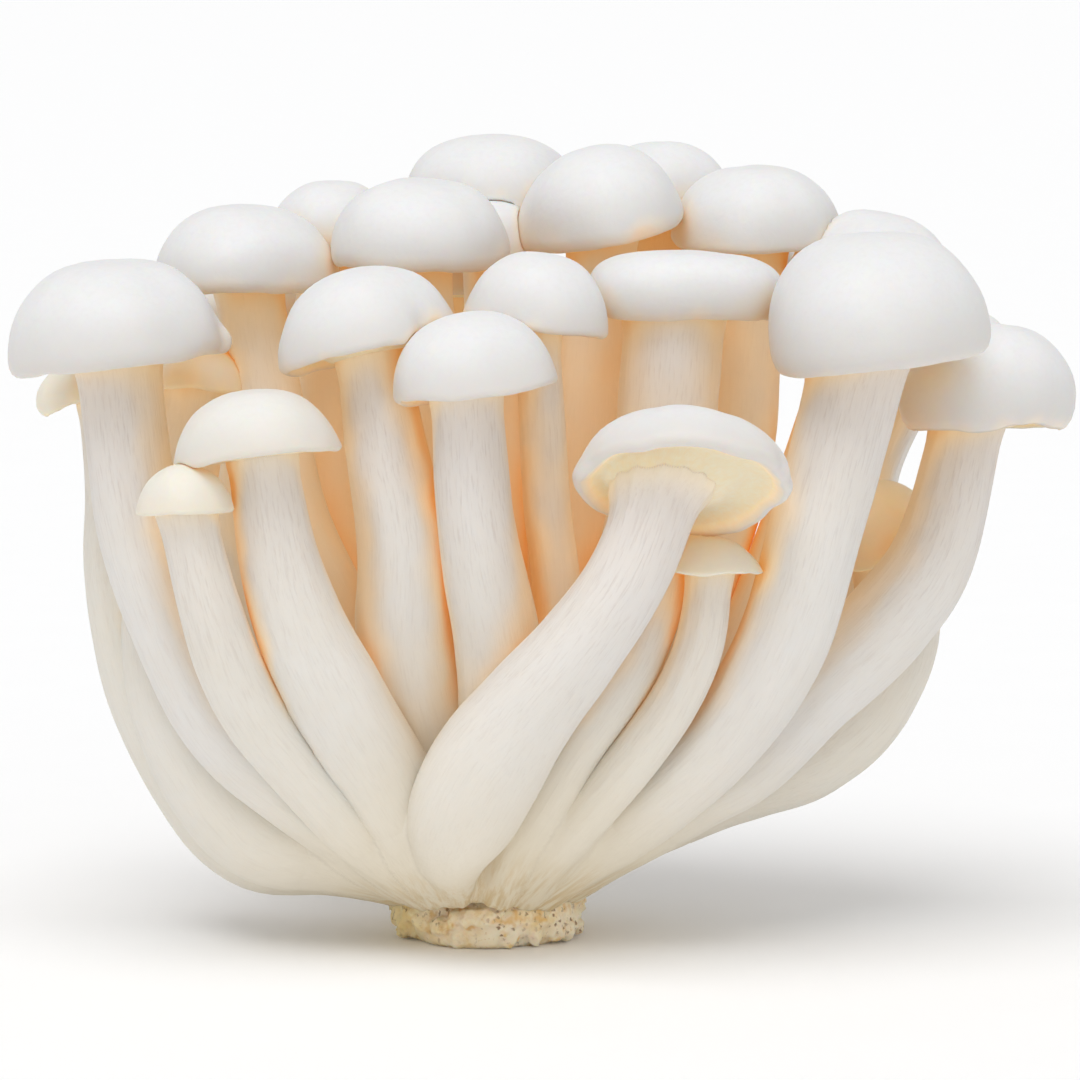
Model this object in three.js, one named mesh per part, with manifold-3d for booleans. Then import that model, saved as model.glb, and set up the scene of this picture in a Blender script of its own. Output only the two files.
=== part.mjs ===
// A bunch of white shimeji mushrooms, standing on the small stub where it was cut off.
// Millimetres, +Z up. The origin is the centre of the flat cut face, and -Y is the front.
import * as THREE from 'three';
import { mergeVertices } from 'three/addons/utils/BufferGeometryUtils.js';
import Module from 'manifold-3d';

const GAP = 0.3; // clearance left where two grown-together pieces press on each other
const STEM_SIDES = 8;
const STEM_RINGS = 8; // sections along a whole stem, foot to cap
const CAP_SIDES = 12;

const STUB_RADIUS = 9.6; // the flat cut face
const STUB_BULGE = 1.1; // how far the crumbly middle stands out past the face
const STUB_HEIGHT = 5.4;
const STUB_SIDES = 16;
const BASE_REACH = 23; // stems are one fused lump up to this far from the middle of the base
const BASE_MIDDLE = new THREE.Vector3(0, 0, 4);

const SEAT_HEIGHT = 0.16; // where the stem meets the cap's underside, as a share of cap height
const SEAT_MARGIN = 0.8; // the flat seat is this much wider than the stem's neck
const SEAT_LIMIT = 0.76; // and stays inside this share of the cap's radius
const LIP_INNER = 0.86; // the rolled lip runs between these shares of the cap's radius
const LIP_OUTER = 0.965;
const WIDEST_HEIGHT = 0.09; // a cap is widest at this share of its height
const RIM_ANGLE = 8; // degrees below which the round of the dome is cut off at the rim
const DOME_STEPS = [0, 0.32, 0.62]; // sections of the dome, as shares of the way to its top
const DOME_FULLNESS = 0.8; // below 1 the dome is fuller than half an ellipse
const HEEL = { foot: 9.4, waist: 12.5, waistHeight: 9, crown: 9.5, top: 17 }; // lump above the stub

const LOOK = {
  cap: { color: '#f3f1ee', roughness: 0.55 },
  stem: { color: '#efe9e1', roughness: 0.65 },
  base: { color: '#e6ddcc', roughness: 0.7 },
  stub: { color: '#cdb68f', roughness: 0.95 },
};

// Each mushroom has its stem's route from the foot up, one stem radius for each point of the
// route and one more for the neck, and its cap: centre of the rim, radius, height, and how far
// it leans to the right and to the back in degrees, and where it has them, how far the stem
// stands off its middle, how much it is stretched, its own rim angle and fullness, and its
// flatness, which is below 1 where the top is flat. The stem's last point is the cap's seat.
// A mushroom keeps its full shape against all that come after it in the list.
const MUSHROOMS = [
  {
    name: 'front_tilted',
    route: [
      [-2.9, -10.5, 5.2], [-3.3, -13.5, 7.8], [-3.7, -17.5, 12.1], [-2.6, -20.8, 16.5],
      [0.3, -24, 22.8], [4.6, -27, 29.2], [9.6, -29.3, 35.6], [15, -30.6, 43.6],
    ],
    girth: [0.9, 1.8, 4.1, 5.9, 6.3, 5.4, 4.7, 4.3, 4.4],
    cap: { centre: [20.6, -30, 52.2], radius: 11.4, height: 8, lean: [3, 31], shift: [-2, 0] },
  },
  {
    name: 'front_left_small',
    route: [
      [-6.2, -7.5, 6], [-13.5, -15.5, 14], [-20.5, -21, 22.5], [-25.5, -25.2, 30], [-29, -29.5, 40],
    ],
    girth: [2.6, 3.6, 3.7, 3.6, 3.3, 2.9],
    cap: { centre: [-31.4, -31, 49.9], radius: 5.1, height: 5.1, lean: [-2, 4], rimAngle: 14 },
  },
  {
    name: 'front_left',
    route: [[-4.6, -8.6, 6], [-8, -14.5, 14], [-12, -18.6, 21.5], [-16.5, -23, 30], [-21, -26, 41]],
    girth: [2.8, 4.9, 5.2, 5.4, 4.6, 3.6],
    cap: {
      centre: [-24, -27.5, 55.4], radius: 8.9, height: 7.3,
      lean: [-7, 5], shift: [0.5, 0], rimAngle: 15,
    },
  },
  {
    name: 'front_right_small',
    route: [
      [3, -8, 5.8], [7.7, -14.5, 12.5], [12, -18, 17.9], [16.3, -20.5, 23.5],
      [20, -21.5, 29.1], [22.6, -22, 35.5],
    ],
    girth: [2.2, 2.9, 2.8, 2.7, 2.6, 2.5, 2.3],
    cap: {
      centre: [22.8, -21.5, 43], radius: 6.3, height: 3.6,
      lean: [5, 2], shift: [0.8, 0], rimAngle: 35,
    },
  },
  {
    name: 'front_right_slim',
    route: [
      [0.6, -9, 5.8], [2.9, -13, 12], [6.1, -16.5, 17.7], [9.3, -18.5, 23.3],
      [13.1, -19.8, 28.9], [16.2, -19.4, 34.2], [18.6, -18, 41],
    ],
    girth: [2.3, 3.4, 3.5, 3.4, 3.3, 3.1, 2.8, 2.5],
    cap: { centre: [19.4, -14.5, 50], radius: 3.8, height: 3.4, lean: [0, 6] },
  },
  {
    name: 'front_centre',
    route: [[-0.5, -8, 9], [1.5, -14, 21], [1, -19, 35], [-1.2, -24, 48.5]],
    girth: [4.2, 4.8, 4.8, 4.1, 3.5],
    cap: {
      centre: [-1.2, -26.5, 61.9], radius: 8.7, height: 8.8,
      lean: [-8, 4], shift: [-0.8, 0],
    },
  },
  {
    name: 'left_outer',
    route: [
      [-6.8, -5.5, 6], [-17, -13, 15.5], [-27, -16, 24], [-32.7, -17, 33.5], [-37.3, -17, 48],
    ],
    girth: [2.9, 4.5, 4.5, 4.4, 4.5, 4.5],
    cap: { centre: [-39.4, -16, 64.4], radius: 11.3, height: 11.2, lean: [-7, 1], rimAngle: 2 },
  },
  {
    name: 'right_big',
    route: [[5.2, -6.8, 6], [17.5, -14, 17], [26, -17, 25.5], [32, -18.5, 36.5], [36, -19, 51]],
    girth: [2.7, 4.3, 4.5, 4.9, 5.1, 5.2],
    cap: {
      centre: [41.5, -18, 64.8], radius: 12.3, height: 13.9,
      lean: [-5, -1], shift: [-1.2, 0], rimAngle: 0,
    },
  },
  {
    name: 'right_outer',
    route: [
      [7.2, -4, 6.2], [22, -8, 16.5], [28.5, -9, 20.5], [35.5, -8, 28], [43.5, -6, 35.5],
      [49, -4, 43.5],
    ],
    girth: [2.7, 4, 4.1, 4.7, 4.9, 4.5, 3.8],
    cap: {
      centre: [54.3, -1.5, 56.4], radius: 9.7, height: 11.6,
      lean: [0, 3], shift: [-1.4, 0], rimAngle: 0,
    },
  },
  {
    name: 'centre_left',
    route: [[-2.5, -8, 9], [-6, -12, 22.5], [-8.8, -16, 34.5], [-9.3, -18.5, 47], [-11, -19, 57]],
    girth: [4.1, 4.6, 5, 4.9, 4.3, 3.6],
    cap: { centre: [-12.2, -19, 65.5], radius: 9.9, height: 9.6, lean: [-12, 7] },
  },
  {
    name: 'centre',
    route: [[1, -4, 9], [5.3, -9, 24], [7.3, -13, 38.5], [6.3, -15.5, 50]],
    girth: [3.1, 2.9, 2.6, 2.5, 2.3],
    cap: { centre: [5, -16.5, 68.2], radius: 7.9, height: 8.3, lean: [9, 4], rimAngle: 16 },
  },
  {
    name: 'centre_right',
    route: [[1.5, -2, 8.5], [8.5, -5, 22.5], [15, -7, 35.5], [18.5, -8, 49]],
    girth: [4.4, 4.8, 5.4, 5.5, 5.4],
    cap: {
      centre: [21.2, -8, 68.9], radius: 9.7, height: 7.2,
      lean: [1, 1], shift: [-1, 0], stretch: [1.1, 0.86], rimAngle: 0, fullness: 0.6, flatness: 0.75,
    },
  },
  {
    name: 'left_low',
    route: [
      [-7.2, -1.5, 6.2], [-17, -2, 9.5], [-25.5, -1, 11.5], [-31.5, 0, 17.5], [-37.5, 1, 28],
      [-40, 1, 40.5], [-40.5, 0, 50],
    ],
    girth: [2.8, 5, 6.4, 6.2, 5.2, 4.8, 3.9, 2.8],
    cap: { centre: [-44, -1.5, 59.5], radius: 5.3, height: 4.5, lean: [-22, 3], shift: [2.2, 0] },
  },
  {
    name: 'left_inner',
    route: [
      [-7.6, -3.8, 6.2], [-17, -7, 10.5], [-25, -8, 13.5], [-31, -8, 21],
      [-34.8, -6.5, 29.5], [-35.3, -3, 40],
    ],
    girth: [2.9, 4.8, 6, 5.8, 5.1, 4.3, 3.5],
    cap: { centre: [-31.6, -1, 60.5], radius: 5.4, height: 5, lean: [6, 4] },
  },
  {
    name: 'right_low',
    route: [
      [8.5, 0, 7], [22.5, 2, 13.7], [28.5, 4, 16.7], [35.5, 6, 20.3], [41.5, 8, 26],
      [45.6, 11.5, 34],
    ],
    girth: [2.7, 3.4, 4.9, 6.3, 6.4, 5, 3.2],
    cap: { centre: [43.4, 8.5, 43.5], radius: 6.6, height: 5.8, lean: [-20, -26] },
  },
  {
    name: 'left_back',
    route: [[-4, -3, 8.5], [-9.5, -4, 22], [-17, -4, 36.5], [-22.5, -2, 49.5]],
    girth: [3.7, 4.3, 4.4, 4.1, 3.7],
    cap: { centre: [-26.7, 1, 72], radius: 10.1, height: 8.8, lean: [2, -4] },
  },
  {
    name: 'top_left',
    route: [[-1, -2, 8.5], [-2, -3, 22], [-4.5, -3, 37.5], [-6, -2, 51.5]],
    girth: [3.8, 4, 3.9, 3.7, 3.5],
    cap: { centre: [-7.8, -1, 74.2], radius: 9.8, height: 9.6, lean: [0, -2], rimAngle: 4 },
  },
  {
    name: 'top_centre',
    route: [[1, -1, 8.5], [7, 1, 25], [9.6, 3, 39], [10.8, 5, 53.5]],
    girth: [3.8, 4.3, 4.5, 4.3, 3.8],
    cap: { centre: [13, 5, 76.9], radius: 9.1, height: 10.2, lean: [-11, -4], rimAngle: 6 },
  },
  {
    name: 'top_right',
    route: [[3.5, -1, 8.5], [15.5, 2, 24.5], [23.5, 5, 40], [27.5, 8, 54]],
    girth: [3.8, 4.3, 4.2, 4.1, 3.7],
    cap: { centre: [29.7, 9, 76.2], radius: 9.6, height: 8.6, lean: [-2, -5] },
  },
  {
    name: 'right_behind',
    route: [[5, 0, 8.5], [17, 1, 16.5], [27, 3, 29], [33, 5, 43], [37, 5.5, 55]],
    girth: [3.8, 4.3, 4.2, 3.7, 3.4, 3.4],
    cap: { centre: [42.2, 6, 70.6], radius: 9.4, height: 9.2, lean: [9, 0] },
  },
  {
    name: 'right_back',
    route: [[6.5, 3, 8.5], [20, 9, 18], [31.5, 16, 28], [41.2, 20, 40], [44.8, 18, 51.5]],
    girth: [3.3, 4, 4.2, 3.2, 2.2, 2.4],
    cap: { centre: [52.3, 14, 62.8], radius: 6.6, height: 6, lean: [14, 4], shift: [-2.2, 0] },
  },
  {
    name: 'back_small',
    route: [[0, 1, 8.5], [1, 4, 23], [1.5, 7, 41], [1.5, 8, 54]],
    girth: [2.9, 2.9, 2.7, 2.4, 2.3],
    cap: { centre: [0.5, 8, 74.5], radius: 5.6, height: 6.4, lean: [2, -3] },
  },
  {
    name: 'back_left_high',
    route: [[-2.5, 1, 8.5], [-10, 4, 23], [-16.5, 7, 41], [-17.8, 9.5, 55]],
    girth: [3.5, 4, 4.2, 4, 3.5],
    cap: { centre: [-17.5, 11, 75.8], radius: 7.3, height: 7.2, lean: [-5, 0] },
  },
  {
    name: 'back_high',
    route: [[0, 4, 8.5], [1, 9, 21], [1.5, 13, 38], [1, 16, 54.5]],
    girth: [3.8, 4, 3.8, 3.6, 3.4],
    cap: { centre: [0, 17.5, 79.2], radius: 10.4, height: 8.8, lean: [-2, 0] },
  },
  {
    name: 'back_right_high',
    route: [[1.5, 4, 8.5], [8, 10, 21.5], [13.5, 15, 37.5], [17, 18, 54.5]],
    girth: [3.8, 4, 3.8, 3.6, 3.4],
    cap: { centre: [19.3, 19.5, 79], radius: 8.3, height: 8, lean: [2, 4] },
  },
  {
    name: 'rear_left',
    route: [[-5, 4, 8.5], [-15, 12, 16], [-24, 17, 28], [-28.5, 20, 44]],
    girth: [3.8, 5, 5.2, 4.9, 4.4],
    cap: { centre: [-29, 21.5, 65], radius: 10, height: 8.4, lean: [-7, 6] },
  },
  {
    name: 'rear_centre',
    route: [[-1.5, 6, 8.5], [-4.5, 15, 17], [-6, 23, 29], [-6, 27.5, 46]],
    girth: [3.8, 5.2, 5.4, 4.8, 4.2],
    cap: { centre: [-6, 29, 68.5], radius: 10, height: 9, lean: [-2, 6] },
  },
  {
    name: 'rear_low',
    route: [[2, 7, 8.5], [7, 17, 15], [10.5, 25, 25], [11.5, 29, 40]],
    girth: [3.4, 5, 5, 4.2, 3.6],
    cap: { centre: [11.5, 31, 56], radius: 8.4, height: 7.4, lean: [3, 10] },
  },
  {
    name: 'rear_right',
    route: [[5, 4, 8.5], [13, 11, 17], [22, 17.5, 29], [26, 21, 46]],
    girth: [3.8, 5, 5.2, 4.4, 3.7],
    cap: { centre: [29, 23, 67.5], radius: 9.8, height: 8.6, lean: [5, 6] },
  },
];

const wasm = await Module();
wasm.setup();

// The direction that a cap's middle points in.
function capAxis(cap) {
  const [right, back] = cap.lean.map(THREE.MathUtils.degToRad);
  return new THREE.Vector3(Math.tan(right), Math.tan(back), 1).normalize();
}

// Where a cap sits and how it is turned, from its own upright frame to the part's frame.
function capPlace(cap) {
  const turn = new THREE.Quaternion().setFromUnitVectors(new THREE.Vector3(0, 0, 1), capAxis(cap));
  return new THREE.Matrix4().compose(new THREE.Vector3(...cap.centre), turn, new THREE.Vector3(1, 1, 1));
}

// The point on the flat seat under a cap where its stem ends.
function seatPoint(cap) {
  const [right, back] = cap.shift ?? [0, 0];
  return new THREE.Vector3(right, back, cap.height * SEAT_HEIGHT).applyMatrix4(capPlace(cap));
}

// A closed geometry with shared vertices and without the empty triangles at a lathe's poles.
function weld(geometry) {
  geometry.deleteAttribute('normal');
  geometry.deleteAttribute('uv');
  const merged = mergeVertices(geometry, 1e-4);
  const kept = [];
  for (let i = 0; i < merged.index.count; i += 3) {
    const [a, b, c] = merged.index.array.slice(i, i + 3);
    if (a !== b && b !== c && c !== a) kept.push(a, b, c);
  }
  merged.setIndex(kept);
  return merged;
}

function toSolid(geometry) {
  return new wasm.Manifold(
    new wasm.Mesh({
      numProp: 3,
      vertProperties: geometry.attributes.position.array,
      triVerts: new Uint32Array(geometry.index.array),
    }),
  );
}

function toGeometry(solid) {
  const mesh = solid.getMesh();
  const geometry = new THREE.BufferGeometry();
  geometry.setAttribute('position', new THREE.BufferAttribute(mesh.vertProperties, 3));
  geometry.setIndex(new THREE.BufferAttribute(mesh.triVerts, 1));
  return geometry;
}

// A turned shape about +Z: its outline runs from the bottom of the axis outwards and up to the top.
function turned(outline, sides) {
  const lathe = new THREE.LatheGeometry(outline.map(([r, z]) => new THREE.Vector2(r, z)), sides);
  return lathe.rotateX(Math.PI / 2);
}

// The stem's middle line with its radius at each section, from the foot to the cap's seat.
function stemSections(mushroom) {
  const points = mushroom.route.map((p) => new THREE.Vector3(...p));
  const line = new THREE.CatmullRomCurve3([...points, seatPoint(mushroom.cap)], false, 'catmullrom');
  const girth = new THREE.CatmullRomCurve3(
    mushroom.girth.map((r) => new THREE.Vector3(r, 0, 0)),
    false,
    'catmullrom',
  );
  const frames = line.computeFrenetFrames(STEM_RINGS);
  return frames.tangents.map((tangent, i) => ({
    centre: line.getPointAt(i / STEM_RINGS),
    radius: girth.getPoint(line.getUtoTmapping(i / STEM_RINGS)).x,
    tangent,
    across: frames.normals[i],
    over: frames.binormals[i],
  }));
}

// A round stem between two of its sections, made as a cylinder and bent along the middle line.
function stemBetween(sections, from, to, extra) {
  const count = to - from;
  const cylinder = new THREE.CylinderGeometry(1, 1, count, STEM_SIDES, count).translate(0, count / 2, 0);
  const welded = weld(cylinder);
  const spot = welded.attributes.position;
  for (let i = 0; i < spot.count; i++) {
    const step = Math.round(spot.getY(i));
    const section = sections[from + step];
    const radius = section.radius + extra;
    const end = step === 0 ? -extra : step === count ? extra : 0;
    const bent = section.centre
      .clone()
      .addScaledVector(section.tangent, end)
      .addScaledVector(section.across, spot.getX(i) * radius)
      .addScaledVector(section.over, -spot.getZ(i) * radius);
    spot.setXYZ(i, bent.x, bent.y, bent.z);
  }
  return toSolid(welded);
}

// How many sections from the foot up belong to the fused base.
function fusedSections(sections) {
  const free = sections.findIndex((s) => s.centre.distanceTo(BASE_MIDDLE) > BASE_REACH);
  return Math.max(1, free);
}

// A cap in its own upright frame: hollowed underside with a flat seat, rolled lip, round dome.
function capGeometry(cap, neck, extra) {
  const { radius, height } = cap;
  const seat = SEAT_HEIGHT * height;
  const widest = WIDEST_HEIGHT * height;
  const seatRadius = neck + SEAT_MARGIN + Math.hypot(...(cap.shift ?? [0, 0]));
  const outline = [
    [0, seat - extra],
    [Math.min(seatRadius, SEAT_LIMIT * radius), seat - extra],
    [LIP_INNER * radius, -extra],
    [LIP_OUTER * radius + extra, -extra],
  ];
  const rim = THREE.MathUtils.degToRad(cap.rimAngle ?? RIM_ANGLE);
  for (const step of DOME_STEPS) {
    const a = THREE.MathUtils.lerp(rim, Math.PI / 2, step);
    const out = (Math.cos(a) / Math.cos(rim)) ** (cap.fullness ?? DOME_FULLNESS);
    const up = ((Math.sin(a) - Math.sin(rim)) / (1 - Math.sin(rim))) ** (cap.flatness ?? 1);
    outline.push([(radius + extra) * out, widest + (height - widest + extra) * up]);
  }
  outline.push([0, height + extra]);
  const [wide, deep] = cap.stretch ?? [1, 1];
  return weld(turned(outline, CAP_SIDES).scale(wide, deep, 1));
}

function capSolid(mushroom, extra) {
  const geometry = capGeometry(mushroom.cap, mushroom.girth.at(-1), extra);
  return toSolid(geometry.applyMatrix4(capPlace(mushroom.cap)));
}

// The crumbly stub of growing medium: flat cut face, bulging side, flat top under the base.
function stubGeometry(extra) {
  const outline = [
    [0, -extra],
    [STUB_RADIUS + extra, -extra],
    [STUB_RADIUS + STUB_BULGE + extra, 0.5 * STUB_HEIGHT],
    [STUB_RADIUS + extra, STUB_HEIGHT + extra],
    [0, STUB_HEIGHT + extra],
  ];
  return weld(turned(outline, STUB_SIDES));
}

// The solid heel of the base, where all the stems run together above the stub.
function heelGeometry(extra) {
  const floor = STUB_HEIGHT + GAP;
  const outline = [
    [0, floor],
    [HEEL.foot + extra, floor],
    [HEEL.waist + extra, HEEL.waistHeight],
    [HEEL.crown + extra, HEEL.top + extra],
    [0, HEEL.top + extra],
  ];
  return weld(turned(outline, STUB_SIDES));
}

// The largest body that is left of a piece after cutting.
function mainBody(solid) {
  return solid.decompose().reduce((best, body) => (body.volume() > best.volume() ? body : best));
}

// One mesh of the bunch, with its geometry moved into the frame where the mesh is placed.
function pieceMesh(name, solid, place, look) {
  const geometry = toGeometry(solid).applyMatrix4(place.clone().invert());
  const mesh = new THREE.Mesh(geometry, new THREE.MeshStandardMaterial({ ...look, metalness: 0 }));
  mesh.name = name;
  place.decompose(mesh.position, mesh.quaternion, mesh.scale);
  return mesh;
}

// The whole bunch: stub, fused base, and one group for each mushroom.
function buildBunch() {
  const bunch = new THREE.Group();
  const ground = new THREE.Matrix4();
  const sections = MUSHROOMS.map(stemSections);
  const lowerStems = (extra) => sections.map((s) => stemBetween(s, 0, fusedSections(s), extra));
  const fused = (extra) =>
    wasm.Manifold.union([...lowerStems(extra), toSolid(heelGeometry(extra))]);

  bunch.add(pieceMesh('substrate_stub', toSolid(stubGeometry(0)), ground, LOOK.stub));
  const aroundStub = toSolid(stubGeometry(GAP));
  const base = mainBody(fused(0).subtract(aroundStub));
  bunch.add(pieceMesh('fused_base', base, ground, LOOK.base));

  let taken = fused(GAP).add(aroundStub);
  MUSHROOMS.forEach((mushroom, i) => {
    const free = fusedSections(sections[i]);
    const foot = new THREE.Matrix4().setPosition(...mushroom.route[0]);
    const place = capPlace(mushroom.cap);

    const cap = mainBody(capSolid(mushroom, 0).subtract(taken));
    taken = taken.add(capSolid(mushroom, GAP));
    const stem = mainBody(stemBetween(sections[i], free, STEM_RINGS, 0).subtract(taken));
    taken = taken.add(stemBetween(sections[i], free, STEM_RINGS, GAP));

    const group = new THREE.Group();
    group.add(pieceMesh(`cap_${mushroom.name}`, cap, place, LOOK.cap));
    group.add(pieceMesh(`stem_${mushroom.name}`, stem, foot, LOOK.stem));
    bunch.add(group);
  });
  return bunch;
}

export default buildBunch();
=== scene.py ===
"""Looks of a bunch of white shimeji mushrooms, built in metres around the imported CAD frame."""

import math

import bpy
import numpy as np
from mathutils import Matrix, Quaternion, Vector
from mathutils.bvhtree import BVHTree
from mathutils.kdtree import KDTree


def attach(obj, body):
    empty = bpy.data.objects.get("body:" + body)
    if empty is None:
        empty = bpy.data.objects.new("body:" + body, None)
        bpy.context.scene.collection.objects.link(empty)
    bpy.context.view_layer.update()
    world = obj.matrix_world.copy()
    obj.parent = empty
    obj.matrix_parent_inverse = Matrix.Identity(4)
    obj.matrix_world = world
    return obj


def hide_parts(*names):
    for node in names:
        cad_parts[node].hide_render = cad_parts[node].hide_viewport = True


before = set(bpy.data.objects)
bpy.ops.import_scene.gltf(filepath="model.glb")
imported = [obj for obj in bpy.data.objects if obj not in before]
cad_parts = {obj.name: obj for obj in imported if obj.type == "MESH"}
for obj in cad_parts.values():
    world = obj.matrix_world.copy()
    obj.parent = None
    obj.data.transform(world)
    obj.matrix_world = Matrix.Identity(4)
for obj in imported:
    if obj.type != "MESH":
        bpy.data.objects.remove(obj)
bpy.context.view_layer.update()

MM = 0.001

# The camera stands where the photograph was taken from, in millimetres and degrees.
VIEW_TARGET = (5.6, 0.0, 43.9)
VIEW_DISTANCE = 600.0
VIEW_ELEVATION = 6.0
VIEW_WIDTH = 118.8
SENSOR = 36.0

BASE_MIDDLE = np.array([0.0, 0.0, 4.0])
BASE_REACH = 23.0
SEAT_HEIGHT = 0.16
WIDEST_HEIGHT = 0.075
RIM_ANGLE = 8.0
DOME_FULLNESS = 0.8

CURVE_STEPS = 401
STEM_SIDES = 64
STEM_RINGS = 58
FINGER_SIDES = 40
FINGER_RINGS = 20
OVERLAP = 4.0  # length that a stem and its part of the base share, hidden in each other
SINK = 0.7  # depth of the hidden end below the other's skin
FILL_STEPS = 210  # how far the creases between the stems are filled in the fused base
BASE_VOXEL = 0.36  # edge of the small cubes that the base's skin is drawn from
STUB_VOXEL = 0.25
GRAIN_APART = (31.7, -11.3)  # sets the grain of each stem apart from the next one's
# Distances from the base's middle, in metres, between which a stem and the base cross. Light
# doesn't scatter in the flesh there, since that would draw a line where they cross.
SEAM_IN, SEAM_OUT = (0.015, 0.0185), (0.026, 0.030)
GILL_EDGE = 0.84  # share of a cap's radius where its gills begin
NECK_FOLDS = 15
PRESS_GAP = 0.12  # how far a pressed skin stays clear of the piece that presses it
PRESS_ROUNDS = 7
PRESS_SPREAD = 0.86
RAY_COUNT = 40
RAY_REACH = 60.0  # how far away a neighbour still takes light, in millimetres
RAY_LIFT = 1.1
GOLDEN_TURN = 2.399963
CRUMBS = 110
# How many places on a piece the openness to the sky is measured at.
CAP_PLACES, STEM_PLACES, BASE_PLACES, STUB_PLACES = 700, 500, 4000, 600

# Light: a white surround, a high soft key light and a weak one from the front. Each sun has its
# strength, its turn in degrees, how wide it is in degrees and its colour.
SURROUND = 0.59
SUNS = {
    "key": (1.5, (24, -7, 0), 45, (1, 1, 1)),
    "front": (0.25, (66, 14, 0), 60, (1.0, 0.99, 0.98)),
}
FLOOR_HALF = 30000.0

# Lumps that stand out of the stub: direction in degrees, height and size.
LARGE_CRUMBS = [(192, 3.2, 1.8), (204, 2.0, 1.5), (178, 4.4, 1.5), (-8, 4.6, 1.6), (-20, 2.6, 1.4),
                (3, 3.2, 1.3), (70, 3.4, 1.6), (120, 2.8, 1.5), (-62, 3.6, 1.2), (-105, 3.2, 1.2)]

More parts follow.
